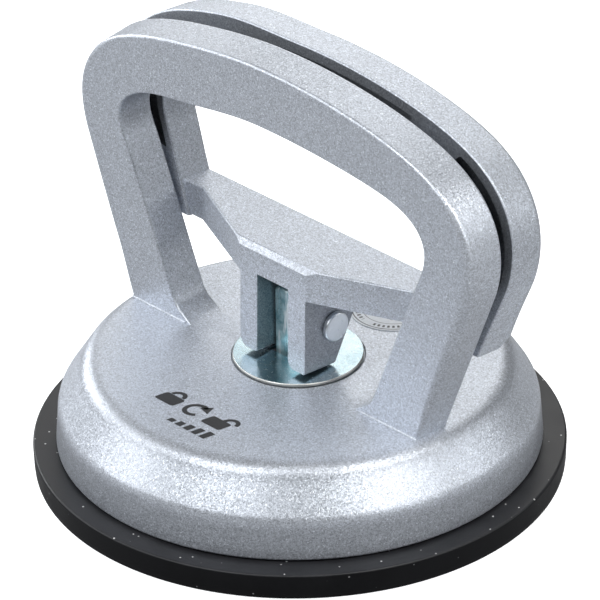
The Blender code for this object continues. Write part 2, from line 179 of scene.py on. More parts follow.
def rounded(corners, steps=6):
    """A polyline through (a, b, radius) corners; all but the two ends are rounded by an arc."""
    out = []
    for i, (x, y, radius) in enumerate(corners):
        if radius <= 0.0 or i in (0, len(corners) - 1):
            out.append((x, y))
            continue
        here = Vector((x, y))
        before = Vector(corners[i - 1][:2]) - here
        after = Vector(corners[i + 1][:2]) - here
        half = before.angle(after) / 2
        reach = min(radius / math.tan(half), before.length * 0.499, after.length * 0.499)
        size = reach * math.tan(half)
        before.normalize()
        after.normalize()
        middle = here + (before + after).normalized() * (size / math.sin(half))
        spoke = here + before * reach - middle
        sweep = spoke.angle_signed(here + after * reach - middle)
        for k in range(steps + 1):
            out.append(tuple(middle + Matrix.Rotation(-sweep * k / steps, 2) @ spoke))
    return out


def rounded_loop(corners, steps=6):
    """The same for a closed loop."""
    return rounded([corners[-1], *corners, corners[0]], steps)[1:-1]


def turned(name, profile, steps):
    """A solid of revolution about Z from (radius, height) points.

    A profile that doesn't start on the axis is closed into a ring.
    """
    verts, faces, rings = [], [], []
    for radius, z in profile:
        first = len(verts)
        if radius < 1e-6:
            verts.append((0.0, 0.0, z))
        else:
            for k in range(steps):
                angle = 2 * math.pi * k / steps
                verts.append((radius * math.cos(angle), radius * math.sin(angle), z))
        rings.append(list(range(first, len(verts))))
    pairs = list(zip(rings, rings[1:]))
    if len(rings[0]) > 1:
        pairs.append((rings[-1], rings[0]))
    for one, two in pairs:
        for k in range(steps):
            after = (k + 1) % steps
            if len(one) == 1:
                faces.append((one[0], two[k], two[after]))
            elif len(two) == 1:
                faces.append((one[k], two[0], one[after]))
            else:
                faces.append((one[k], two[k], two[after], one[after]))
    return mesh_object(name, verts, faces)


def extruded(loop, place, low, high, first=0):
    """Vertices and faces of a loop drawn out from low to high, numbered from first."""
    count = len(loop)
    verts = [place(*point, end) for end in (low, high) for point in loop]
    faces = [
        tuple(range(first, first + count))[::-1],
        tuple(range(first + count, first + 2 * count)),
    ]
    for i in range(count):
        after = (i + 1) % count
        faces.append((first + i, first + after, first + count + after, first + count + i))
    return verts, faces


# How (a, b) and the way along map to x, y, z for each axis a prism can face.
PLACES = {
    "z": lambda a, b, along: (a, b, along),
    "y": lambda a, b, along: (a, along, b),
    "x": lambda a, b, along: (along, a, b),
}


def prism(name, loop, low, high, facing):
    """A closed loop extruded: facing z takes (x, y), y takes (x, z), x takes (y, z)."""
    return mesh_object(name, *extruded(loop, PLACES[facing], low, high))


def box(name, low, high):
    loop = [(low[0], low[1]), (high[0], low[1]), (high[0], high[1]), (low[0], high[1])]
    return prism(name, loop, low[2], high[2], "z")


def on_pin(obj):
    """Lays a shape turned about Z along the pin: its heights become x."""
    obj.data.transform(TO_PIN @ ALONG_X)
    return obj


def bore(name):
    profile = [(0.0, 20.0), (BORE_RADIUS, 20.0), (BORE_RADIUS, -20.0), (0.0, -20.0)]
    return turned(name, profile, 48)


def step(value, low, high):
    """Eases from 0 at low to 1 at high."""
    part = min(1.0, max(0.0, (value - low) / (high - low)))
    return part * part * (3 - 2 * part)


def eased(value, table):
    """Eases between (position, value) pairs."""
    if value <= table[0][0]:
        return table[0][1]
    for (low, start), (high, end) in zip(table, table[1:]):
        if value <= high:
            return start + (end - start) * step(value, low, high)
    return table[-1][1]


# --------------------------------------------------------------------------
# the arch that both handles share
# --------------------------------------------------------------------------

# Steps along the leg, the shoulder and the crown.
ARCH_STEPS = (26, 36, 26)

# Edges of the band at +X: a straight leg through leg_at (x, z) that gains slope in x for
# each z, then two curves by way of the shoulder, where the edge runs at angle degrees.
# The leads are the lengths of the curves' handles.
OUTER_EDGE = dict(
    leg_at=(45.1, BELL_TOP), slope=0.391, bend_z=64.4, bend_lead=6.0,
    shoulder=(44.0, 95.0), angle=20.0, shoulder_lead=23.0,
    crown_lead=12.0, top_lead=16.0, top=101.4,
)
INNER_EDGE = dict(
    leg_at=(31.3, 31.0), slope=0.40, bend_z=65.0, bend_lead=3.5,
    shoulder=(36.8, 82.9), angle=14.0, shoulder_lead=16.5,
    crown_lead=6.0, top_lead=14.0, top=86.0,
)

# Cored pockets: start and end angles round the arch's middle, depth, and wall left outside.
POCKET_SPANS = ((57.0, 123.0), (14.0, 43.5), (136.5, 166.0))
POCKET_CENTER_Z = 50.0
POCKET_DEPTH = 5.5
POCKET_WALL = 2.7
POCKET_CORNER = 2.2


def bezier(start, lead, reach, end, count):
    """A cubic curve's points, without its first."""
    out = []
    for i in range(1, count + 1):
        part = i / count
        rest = 1 - part
        out.append(tuple(
            rest ** 3 * p + 3 * rest * rest * part * q + 3 * rest * part * part * r + part ** 3 * s
            for p, q, r, s in zip(start, lead, reach, end)
        ))
    return out


def arch_edge(
    foot_z, steps=ARCH_STEPS, *, leg_at, slope, bend_z, bend_lead, shoulder, angle,
    shoulder_lead, crown_lead, top_lead, top,
):
    """One edge of the band at +X as (x, z), from its foot up to the crown on x = 0."""
    foot_x = leg_at[0] + (foot_z - leg_at[1]) * slope
    bend_x = foot_x + (bend_z - foot_z) * slope
    along = Vector((slope, 1.0)).normalized()
    back = Vector((math.cos(math.radians(angle)), -math.sin(math.radians(angle))))
    leg = [
        (foot_x + (bend_x - foot_x) * i / steps[0], foot_z + (bend_z - foot_z) * i / steps[0])
        for i in range(steps[0] + 1)
    ]
    to_shoulder = bezier(
        (bend_x, bend_z), (bend_x + bend_lead * along.x, bend_z + bend_lead * along.y),
        (shoulder[0] + shoulder_lead * back.x, shoulder[1] + shoulder_lead * back.y),
        shoulder, steps[1],
    )
    to_crown = bezier(
        shoulder, (shoulder[0] - crown_lead * back.x, shoulder[1] - crown_lead * back.y),
        (top_lead, top), (0.0, top), steps[2],
    )
    return leg + to_shoulder + to_crown


def whole(half):
    """Adds the mirrored half at -X."""
    return half + [(-x, z) for x, z in reversed(half[:-1])]


def swept_band(name, outer, inner, front, back, radii, draft=lambda z: 0.0, corner_steps=6):
    """A band between two edges with a rounded rectangular section.

    front is a y. At a height, back gives y, radii the four corner radii (front outer,
    back outer, back inner, front inner), and draft what comes off the outer side.
    """
    rings, verts = [], []
    for out_point, in_point in zip(outer, inner):
        z = out_point[1]
        far, near = Vector(out_point), Vector(in_point)
        way = (far - near).normalized()
        width = (far - near).length
        depth = back(z) - front
        front_outer, back_outer, back_inner, front_inner = radii(z)
        # across, depth, radius, start angle
        corners = (
            (width - draft(z), 0.0, front_outer, -90.0), (width, depth, back_outer, 0.0),
            (0.0, depth, back_inner, 90.0), (0.0, 0.0, front_inner, 180.0),
        )
        ring = []
        for across, deep, radius, start in corners:
            center_across = across - radius if across > 0 else across + radius
            center_deep = deep - radius if deep > 0 else deep + radius
            for k in range(corner_steps + 1):
                angle = math.radians(start + 90.0 * k / corner_steps)
                place = near + way * (center_across + radius * math.cos(angle))
                ring.append(len(verts))
                verts.append((place.x, front + (center_deep + radius * math.sin(angle)), place.y))
        rings.append(ring)
    count = len(rings[0])
    faces = [tuple(rings[0]), tuple(reversed(rings[-1]))]
    for one, two in zip(rings, rings[1:]):
        for k in range(count):
            after = (k + 1) % count
            faces.append((one[k], two[k], two[after], one[after]))
    return mesh_object(name, verts, faces)


def ray_hit(half, degrees):
    """Where a ray from the pockets' centre at 0 to 90 degrees meets an edge of the arch."""
    turn = math.radians(degrees)
    ray = (math.cos(turn), math.sin(turn))
    side = [x * ray[1] - (z - POCKET_CENTER_Z) * ray[0] for x, z in half]
    for (x, z), (next_x, next_z), here, there in zip(half, half[1:], side, side[1:]):
        if here * there <= 0.0 and here != there:
            part = here / (here - there)
            hit = Vector((x + (next_x - x) * part, z + (next_z - z) * part))
            if hit.x * ray[0] + (hit.y - POCKET_CENTER_Z) * ray[1] > 0.0:
                return hit
    return Vector(half[-1])


def pocket(name, start, end, drop, steps=30):
    """A cutter between two angles round the arch, a wall's width inside both edges.

    Its mouth is on y = 0 and it runs towards +Y; drop lowers it.
    """
    fine = (1, 60, 40)
    outer = arch_edge(BELL_TOP, fine, **OUTER_EDGE)
    inner = arch_edge(BELL_TOP, fine, **INNER_EDGE)
    outs, ins = [], []
    for i in range(steps + 1):
        angle = start + (end - start) * i / steps
        flip = angle > 90.0
        near_angle = 180.0 - angle if flip else angle
        far, close = ray_hit(outer, near_angle), ray_hit(inner, near_angle)
        way = (close - far).normalized()
        sign = -1.0 if flip else 1.0
        for points, spot in ((outs, far + way * POCKET_WALL), (ins, close - way * POCKET_WALL)):
            points.append((sign * spot.x, spot.y - drop))
    corners = []
    for side in (outs, ins[::-1]):
        corners.append((*side[0], POCKET_CORNER))
        corners += [(x, z, 0.0) for x, z in side[1:-1]]
        corners.append((*side[-1], POCKET_CORNER))
    tool = prism(name, rounded_loop(corners, 5), -2.0, POCKET_DEPTH, "y")
    return tag(tool, "tag_pocket")


# --------------------------------------------------------------------------
# housing: bell and fixed handle
# --------------------------------------------------------------------------

# (radius, height, corner radius) from the middle of the top, round the rim, to the underside.
BELL_PROFILE = rounded([
    (0.0, 26.0, 0), (15.05, 26.0, 0.15), (15.1, BELL_TOP, 0.15), (47.4, BELL_TOP - 0.05, 5.0),
    (54.25, 15.9, 4.5), (55.0, 6.5, 0.6), (51.8, 6.5, 0.4), (51.3, 14.6, 3.0),
    (46.0, 23.2, 3.0), (0.0, 23.2, 0),
], 8)
ARCH_FOOT_Z = 24.2  # inside the bell's wall
# The leg's inner side flares at its foot by FLARE, from FLARE_TOP down over FLARE_HEIGHT.
FLARE, FLARE_TOP, FLARE_HEIGHT = 4.3, 31.5, 5.1
FILLET = 0.42
BELL_SLOT_X = 5.1


def arch_radii(z):
    front_outer = eased(z, [(26.0, 0.8), (40.0, 2.0), (66.0, 2.7), (84.0, 1.7), (94.0, 0.75)])
    front_inner = eased(z, [(26.0, 0.6), (60.0, 0.7), (90.0, 0.5)])
    return front_outer, 0.9, 0.7, front_inner


def cast_lean(points, top_drop):
    """The casting isn't quite even: its -X leg stands outwards and its shoulder sits lower."""
    return [
        (
            x - 0.8 * step(-x, 4.0, 36.0),
            z - top_drop * step(-x, 4.0, 30.0) * step(z, 62.0, 82.0),
        )
        for x, z in points
    ]


def fixed_handle():
    outer = arch_edge(ARCH_FOOT_Z, **OUTER_EDGE)
    inner = [
        (x - FLARE * min(1.0, max(0.0, (FLARE_TOP - z) / FLARE_HEIGHT)) ** 2.6, z)
        for x, z in arch_edge(ARCH_FOOT_Z, **INNER_EDGE)
    ]
    arch = swept_band(
        "fixed_handle", cast_lean(whole(outer), 0.55), cast_lean(whole(inner), 1.5),
        ARCH_FRONT, lambda z: ARCH_BACK, arch_radii, draft=lambda z: 0.8 * step(z, 55.0, 88.0),
    )
    tag(arch, "tag_paint")
    for number, (start, end) in enumerate(POCKET_SPANS):
        tool = pocket(f"fixed_pocket_{number}", start, end, drop=0.0)
        # these pockets open towards +Y
        tool.data.transform(Matrix.Scale(-1.0, 4, (0, 1, 0)))
        tool.data.flip_normals()
        tool.data.transform(Matrix.Translation((0.0, ARCH_BACK * MM, 0.0)))
        boolean(arch, tool, "DIFFERENCE")
    return arch


def foot_fillet(name, low_x, high_x, steps=4):
    """A small concave fillet along X between the arch's front and the bell's top."""
    sunk_y, sunk_z = ARCH_FRONT + 0.4, BELL_TOP - 0.12
    edge_y = ARCH_FRONT - FILLET
    loop = [(sunk_y, sunk_z), (edge_y, sunk_z), (edge_y, BELL_TOP + 0.01)]
    for k in range(1, steps + 1):
        angle = math.radians(-90.0 + 90.0 * k / steps)
        loop.append((
            edge_y + FILLET * math.cos(angle), BELL_TOP + FILLET + FILLET * math.sin(angle),
        ))
    loop.append((sunk_y, BELL_TOP + FILLET))
    return prism(name, loop, low_x, high_x, "x")


def parting_ridge():
    """A thin ridge that follows the bell's slope at +X."""
    line = [(x, z) for x, z in BELL_PROFILE if 43.5 < x < 53.2 and z > 18.0]
    loop = [(x + 0.05, z + 0.07) for x, z in line]
    loop += [(line[-1][0] - 0.7, line[-1][1] - 0.3), (line[0][0] - 0.2, line[0][1] - 0.6)]
    return prism("parting_ridge", loop, -0.5, -0.3, "y")


def make_housing():
    housing = tag(turned("housing_casting", BELL_PROFILE, 240), "tag_paint")
    boolean(housing, fixed_handle(), "UNION")
    boolean(housing, foot_fillet("foot_fillet_left", -45.7, -28.4), "UNION")
    boolean(housing, foot_fillet("foot_fillet_right", 27.6, 44.9), "UNION")
    boolean(housing, parting_ridge(), "UNION")
    slot = box(
        "bell_slot", (-BELL_SLOT_X, PIN_Y - 4.4, 15.0), (BELL_SLOT_X, PIN_Y + 4.0, 35.0),
    )
    boolean(housing, tag(slot, "tag_slot"), "DIFFERENCE")
    tidy(housing)
    return shade(housing, 38.0)


housing = make_housing()

# --------------------------------------------------------------------------
# lever, in its own upright frame with the origin on the pin
# --------------------------------------------------------------------------
LEVER_DROP = 1.0  # how much lower its arch sits than the fixed one
LEVER_FRONT, LEVER_BACK = 1.0, 10.5
BAR_LOW, BAR_HIGH = 8.6, 16.6
BAR_FRONT = LEVER_FRONT + 0.8
BLOCK_X = 10.45  # half the width of the block in the crossbar's middle
BLOCK_FRONT = -9.0
BLOCK_CHAMFER = 1.4
LUG_LOW, LUG_TOP = -10.0, BAR_HIGH - 2.6
LUG_BACK = 7.5
LUG_BACK_SLOPE = 0.4486  # y gained for each z on the slanting back
LUG_SLOT_X, LUG_SLOT_TOP = 4.9, 9.75

# name, low x, high x, radius of the lower corner at low x, and at high x
LUGS = (
    ("left", -BLOCK_X + 0.1, -LUG_SLOT_X, 2.7, 0.9),
    ("right", LUG_SLOT_X, BLOCK_X - 0.1, 2.3, 0.9),
)


def lever_back(z):
    return LEVER_BACK + 0.8 * max(0.0, (z - 20.0) / 43.0)


def lever_radii(z):
    back_outer = eased(z, [(8.0, 0.8), (20.0, 1.6), (45.0, 2.2), (58.0, 1.6)])
    return 0.5, back_outer, 0.9, 0.6


def block_front(z):
    """The block's front stands nearly upright at rest, so in this frame it leans forward."""
    return -8.87 - 0.052 * z


def lever_arch():
    foot_z = PIN_Z + BAR_LOW + LEVER_DROP
    outer, inner = (
        whole([(x, z - LEVER_DROP - PIN_Z) for x, z in arch_edge(foot_z, **edge)])
        for edge in (OUTER_EDGE, INNER_EDGE)
    )
    # the -X shoulder stands a little proud
    outer = [(x, z + 1.25 * step(-x, 6.0, 30.0) * step(z, 30.0, 50.0)) for x, z in outer]
    arch = swept_band("lever_casting", outer, inner, LEVER_FRONT, lever_back, lever_radii)
    return tag(arch, "tag_paint")


def crossbar():
    """A bar between the leg ends, with walls that slant forward to the block."""
    right_half = [
        (BLOCK_X, BLOCK_FRONT), (34.3, BAR_FRONT), (40.0, BAR_FRONT), (52.0, BAR_FRONT),
        (52.0, LEVER_BACK),
    ]
    loop = [(-x, y) for x, y in reversed(right_half)] + right_half
    bar = prism("crossbar", loop, BAR_LOW, BAR_HIGH, "z")
    for vert in bar.data.vertices:
        if vert.co.y < (BLOCK_FRONT + 0.1) * MM:
            vert.co.y = block_front(vert.co.z / MM) * MM
    tag(bar, "tag_paint")
    edge_y = block_front(BAR_HIGH)
    chamfer = [
        (edge_y - 1.0, BAR_HIGH - BLOCK_CHAMFER - 1.0),
        (edge_y + BLOCK_CHAMFER + 1.0, BAR_HIGH + 1.0), (edge_y - 1.0, BAR_HIGH + 1.0),
    ]
    tool = prism("block_chamfer", chamfer, -20.0, 20.0, "x")
    boolean(bar, tag(tool, "tag_chamfer"), "DIFFERENCE")
    # front edges of the top, then the bottom, then the top's back edge
    bevel_edges(bar, 0.42, 3, lambda ends: all(
        end.z > BAR_HIGH - 0.01 and end.y < 5.0 and abs(end.x) < 41.0 for end in ends))
    bevel_edges(bar, 0.45, 2, lambda ends: all(end.z < BAR_LOW + 0.01 for end in ends))
    bevel_edges(bar, 0.8, 3, lambda ends: all(
        end.z > BAR_HIGH - 0.01 and end.y > LEVER_BACK - 0.1 for end in ends))
    return bar


def make_lug(side, low_x, high_x, low_radius, high_radius):
    profile = [
        (block_front(LUG_TOP), LUG_TOP, 0.0), (block_front(LUG_LOW), LUG_LOW, 0.0),
        (1.0, LUG_LOW, 0.35), (LUG_BACK, LUG_LOW + (LUG_BACK - 1.0) / LUG_BACK_SLOPE, 1.0),
        (LUG_BACK, LUG_TOP, 0.0),
    ]
    lug = prism(f"lug_{side}", rounded_loop(profile, 4), low_x - 0.5, high_x + 0.5, "x")
    # the lower corners are rounded in the front view
    outline = rounded_loop([
        (low_x, 17.0, 0.0), (low_x, LUG_LOW - 0.12, low_radius),
        (high_x, LUG_LOW - 0.12, high_radius), (high_x, 17.0, 0.0),
    ], 8)
    boolean(lug, prism("lug_outline", outline, -16.0, 12.0, "y"), "INTERSECT")
    bevel_edges(
        lug, 0.42, 3, sharper_than=50.0,
        pick=lambda ends: all(end.y < -8.0 for end in ends) and any(end.z < 13.0 for end in ends),
    )
    return tag(lug, "tag_paint")


def cut_lug_slot(lever):
    slot = box("lug_slot", (-LUG_SLOT_X, -30.0, -20.0), (LUG_SLOT_X, 30.0, LUG_SLOT_TOP))
    boolean(lever, tag(slot, "tag_slot"), "DIFFERENCE")
    bevel_edges(lever, 0.22, 2, sharper_than=50.0, pick=lambda ends: all(
        abs(end.z - LUG_SLOT_TOP) < 0.02 and end.y < -8.8 and abs(end.x) < LUG_SLOT_X + 0.1
        for end in ends))


def mark_lever(lever):
    """Tags the faces that get their own paint, painted shade: the rim in the gap behind the fixed
    handle, the slot walls, the lugs' undersides and their outer sides.
    """
    mark_faces(lever, "tag_rim", lambda normal, at: (
        normal.y < -0.95 and at.y < LEVER_FRONT + 0.2 and at.z > BAR_HIGH + 0.5))
    mark_faces(lever, "tag_slot_wall", lambda normal, at: (
        abs(normal.x) > 0.95 and abs(at.x) < LUG_SLOT_X + 0.1 and at.z < LUG_SLOT_TOP + 0.1))
    mark_faces(lever, "tag_under", lambda normal, at: normal.z < -0.9 and at.z < LUG_LOW + 0.5)
    mark_faces(lever, "tag_side", lambda normal, at: (
        normal.x > 0.95 and at.z < BAR_LOW - 0.5 and 9.0 < at.x < 12.0))


def make_lever():
    lever = lever_arch()
    boolean(lever, crossbar(), "UNION")
    for row in LUGS:
        boolean(lever, make_lug(*row), "UNION")
    cut_lug_slot(lever)
    lug_bore = bore("lug_bore")
    lug_bore.data.transform(ALONG_X)
    boolean(lever, lug_bore, "DIFFERENCE")
    # a slanting cut along the bar's lower back edge
    relief = [
        (LEVER_BACK - 3.27, BAR_LOW - 0.5), (LEVER_BACK + 2.0, BAR_LOW - 0.5),
        (LEVER_BACK + 2.0, BAR_LOW + 6.59),
    ]
    boolean(lever, prism("relief", relief, -70.0, 70.0, "x"), "DIFFERENCE")
    for number, (start, end) in enumerate(POCKET_SPANS):
        tool = pocket(f"lever_pocket_{number}", start, end, drop=LEVER_DROP + PIN_Z)
        tool.data.transform(Matrix.Translation((0.0, LEVER_FRONT * MM, 0.0)))
        boolean(lever, tool, "DIFFERENCE")
    tidy(lever)
    mark_lever(lever)
    lever.data.transform(TO_PIN @ Matrix.Rotation(math.radians(-LEVER_TILT), 4, "X"))
    return shade(lever, 38.0)


lever = make_lever()

# --------------------------------------------------------------------------
# cam plate, tie bar, pin, washer, clip
# --------------------------------------------------------------------------
CAM_SLOT_X, CAM_SLOT_Y = 5.6, 4.7
TIE_X, TIE_LOW, TIE_TOP = 4.65, 7.6, 43.6
TIE_FRONT, TIE_BACK = PIN_Y - 3.8, PIN_Y + 3.5


def make_cam():
    # radius, height, corner radius
    cam = turned("cam_plate_zinc", rounded([
        (0.0, 27.2, 0), (14.6, 27.2, 0.12), (14.75, 27.0, 0.08), (14.75, 26.42, 0.12),
        (14.6, 26.3, 0.0), (0.0, 26.3, 0),
    ], 4), 160)
    tag(cam, "tag_paint")
    mark_faces(cam, "tag_edge", lambda normal, at: (
        math.hypot(at.x, at.y) > 14.5 and normal.z < 0.8))
    slot = box(
        "cam_slot", (-CAM_SLOT_X, PIN_Y - CAM_SLOT_Y, 20.0), (CAM_SLOT_X, PIN_Y + CAM_SLOT_Y, 35.0),
    )
    boolean(cam, slot, "DIFFERENCE")
    return shade(cam)


def make_tie():
    tie = box("tie_bar_zinc", (-TIE_X, TIE_FRONT, TIE_LOW), (TIE_X, TIE_BACK, TIE_TOP))
    # the top's two edges along Y, then all round the front and back faces but the foot
    bevel_edges(tie, 1.7, 8, lambda ends: (
        all(end.z > TIE_TOP - 0.1 for end in ends) and abs(ends[0].y - ends[1].y) > 1.0))
    bevel_edges(tie, 0.75, 5, lambda ends: (
        all(end.y < TIE_FRONT + 0.1 for end in ends) or all(end.y > TIE_BACK - 0.1 for end in ends)
    ) and any(end.z > TIE_LOW + 0.4 for end in ends))
    boolean(tie, on_pin(bore("tie_bore")), "DIFFERENCE")
    return shade(tie)


cam = make_cam()
tie = make_tie()

# Profiles are (radius, x): the head is at +X, the washer and clip at -X.
pin = shade(on_pin(turned("pivot_pin_steel", rounded([
    (0.0, 11.8, 0), (3.5, 11.75, 0.45), (3.5, 10.5, 0.25), (2.4, 10.5, 0.1),
    (2.4, -12.7, 0), (2.1, -13.0, 0), (0.0, -13.0, 0),
], 6), 64)))
washer = shade(on_pin(turned("pin_washer_steel", [
    (4.0, -10.5), (4.2, -10.7), (4.2, -11.0), (4.0, -11.2), (2.7, -11.2), (2.7, -10.5),
], 64)))
clip = shade(on_pin(turned("retaining_clip_steel", [
    (3.6, -11.5), (3.9, -11.8), (3.9, -12.0), (3.6, -12.3), (2.75, -12.3), (2.75, -11.5),
], 64)))

# --------------------------------------------------------------------------
# rubber pad: the edge that seals, and the moulding that the tie bar lifts
# --------------------------------------------------------------------------
DISH_INNER, DISH_WIDTH = 25.0, 19.8
DISH_HEIGHT, SKIN_THICKNESS = 3.0, 1.0

# radius, height, corner radius
pad = shade(turned("pad_edge_rubber", rounded([
    (45.0, 6.1, 0), (47.6, 6.1, 0), (47.6, 10.0, 0.5), (51.0, 10.0, 0.5), (51.2, 6.1, 0.3),
    (60.3, 6.1, 0.55), (60.15, 1.4, 0.4), (60.0, 0.0, 0.35), (45.0, 0.0, 0.2), (45.0, 0.9, 0),
], 6), 240))


def dish(radius):
    """Height of the underside at a radius: flat in the middle, down to the sealing ring."""
    part = min(1.0, max(0.0, (44.8 - radius) / DISH_WIDTH))
    return DISH_HEIGHT * part * part * (3 - 2 * part)


def make_skin():
    radii = [DISH_INNER + DISH_WIDTH * i / 18 for i in range(19)]
    profile = [(0.0, 7.0), (22.6, 7.0), (24.6, 5.6)]
    profile += [(radius, dish(radius) + SKIN_THICKNESS) for radius in radii[1:]]
    profile += [(radius, dish(radius)) for radius in reversed(radii)]
    profile += [(12.0, DISH_HEIGHT), (0.0, DISH_HEIGHT)]
    return shade(turned("pad_dish_rubber", profile, 160), 50.0)


skin = make_skin()

# --------------------------------------------------------------------------
# return spring, with closer turns at both ends
# --------------------------------------------------------------------------
SPRING_RADIUS, WIRE_RADIUS = 7.8, 0.8
SPRING_LOW, SPRING_TOP = 9.7, 22.7
SPRING_TURNS, END_TURNS = 4.0, 0.75
END_PITCH = 2 * WIRE_RADIUS + 0.25


def spring_path(around):
    """The wire's middle line, with around points to a turn."""
    low = SPRING_LOW + WIRE_RADIUS
    height = SPRING_TOP - WIRE_RADIUS - low
    path = []
    for i in range(int(SPRING_TURNS * around) + 1):
        turn = i / around
        if turn < END_TURNS:
            rise = END_PITCH * turn
        elif turn > SPRING_TURNS - END_TURNS:
            rise = height - END_PITCH * (SPRING_TURNS - turn)
        else:
            start, stop = END_TURNS * END_PITCH, height - END_TURNS * END_PITCH
            rise = start + (stop - start) * (turn - END_TURNS) / (SPRING_TURNS - 2 * END_TURNS)
        angle = 2 * math.pi * turn
        path.append(Vector((
            SPRING_RADIUS * math.cos(angle), PIN_Y + SPRING_RADIUS * math.sin(angle), low + rise,
        )))
    return path


def make_spring(around=72, ring=12):
    path = spring_path(around)
    last = len(path) - 1
    verts, faces = [], []
    for i, point in enumerate(path):
        tangent = (path[min(i + 1, last)] - path[max(i - 1, 0)]).normalized()
        out = Vector((point.x, point.y - PIN_Y, 0.0)).normalized()
        side = tangent.cross(out).normalized()
        out = side.cross(tangent).normalized()
        for k in range(ring):
            angle = 2 * math.pi * k / ring
            spoke = out * math.cos(angle) + side * math.sin(angle)
            verts.append(tuple(point + spoke * WIRE_RADIUS))
    for i in range(last):
        here, there = i * ring, (i + 1) * ring
        for k in range(ring):
            after = (k + 1) % ring
            faces.append((here + k, there + k, there + after, here + after))
    faces.append(tuple(range(ring)))
    faces.append(tuple(reversed(range(last * ring, (last + 1) * ring))))
    return shade(mesh_object("return_spring_wire", verts, faces), 50.0)


spring = make_spring()

# --------------------------------------------------------------------------
# label and printed mark: plain pictograms, no lettering
# --------------------------------------------------------------------------
LABEL_X, LABEL_Y, LABEL_RADIUS = 1.2, 29.0, 10.0
LABEL_LOW, LABEL_TOP = 26.42, 26.55
MARK_X, MARK_Y = 1.0, -32.6
MARK_SLANT = 0.2
LOCK_X, LOCK_LOW, LOCK_TOP = 2.9, -2.7, 0.9  # a padlock's body: half width, bottom, top
SHACKLE_INNER, SHACKLE_OUTER = 1.15, 2.1
ARROW_X, ARROW_Y = 0.2, -0.2
ARROW_INNER, ARROW_OUTER = 1.75, 2.75
ARROW_START, ARROW_END = 55.0, 320.0
BARS_LOW = -7.4


def make_label():
    label = turned("info_label", rounded([
        (0.0, LABEL_TOP, 0), (LABEL_RADIUS, LABEL_TOP, 0.04), (LABEL_RADIUS, LABEL_LOW, 0),
        (0.0, LABEL_LOW, 0),
    ], 2), 96)
    label.data.transform(Matrix.Translation(Vector((LABEL_X, LABEL_Y, 0.0)) * MM))
    return shade(label)


def flat_shape(name, loops, low, high):
    """Thin printed shapes, each loop its own island of one mesh."""
    verts, faces = [], []
    for loop in loops:
        more_verts, more_faces = extruded(loop, PLACES["z"], low, high, first=len(verts))
        verts += more_verts
        faces += more_faces
    return mesh_object(name, verts, faces)


def arc_band(center_x, center_y, inner, outer, start, end, steps):
    angles = [math.radians(start + (end - start) * i / steps) for i in range(steps + 1)]
    return [
        (center_x + radius * math.cos(angle), center_y + radius * math.sin(angle))
        for radius, run in ((outer, angles), (inner, angles[::-1])) for angle in run
    ]


def padlock(x, opened):
    body = [
        (x - LOCK_X, LOCK_LOW, 0.7), (x + LOCK_X, LOCK_LOW, 0.7),
        (x + LOCK_X, LOCK_TOP, 0.7), (x - LOCK_X, LOCK_TOP, 0.7),
    ]
    middle = x + (SHACKLE_OUTER if opened else 0.0)
    shackle = arc_band(middle, 1.0, SHACKLE_INNER, SHACKLE_OUTER, 3.0, 177.0, 18)
    shape = [rounded_loop(body, 5), shackle]
    if opened:
        left, right = middle - SHACKLE_OUTER, middle - SHACKLE_INNER
        shape.append([(left, 0.85), (right, 0.85), (right, 1.1), (left, 1.1)])
    return shape


def make_mark():
    """A shut and an open padlock, a turning arrow between them, and five bars below."""
    loops = padlock(-7.2, opened=False) + padlock(7.6, opened=True)
    loops.append(arc_band(
        ARROW_X, ARROW_Y, ARROW_INNER, ARROW_OUTER, ARROW_START, ARROW_END, 36,
    ))
    tip = math.radians(ARROW_START)
    middle = (ARROW_INNER + ARROW_OUTER) / 2
    x, y = ARROW_X + middle * math.cos(tip), ARROW_Y + middle * math.sin(tip)
    loops.append([(x - 1.5, y - 0.5), (x + 1.7, y - 1.3), (x + 0.3, y + 1.6)])
    for i in range(5):
        left, right, top = 2.5 * i, 2.5 * i + 1.6, BARS_LOW + (1.3 + 0.45 * i)
        loops.append([(left, BARS_LOW), (right, BARS_LOW), (right, top), (left, top)])
    placed = [[(MARK_X + (x + MARK_SLANT * y), MARK_Y + y) for x, y in loop] for loop in loops]
    return flat_shape("printed_mark", placed, BELL_TOP - 0.02, BELL_TOP + 0.03)


label = make_label()
mark = make_mark()

# --------------------------------------------------------------------------
# materials
# --------------------------------------------------------------------------


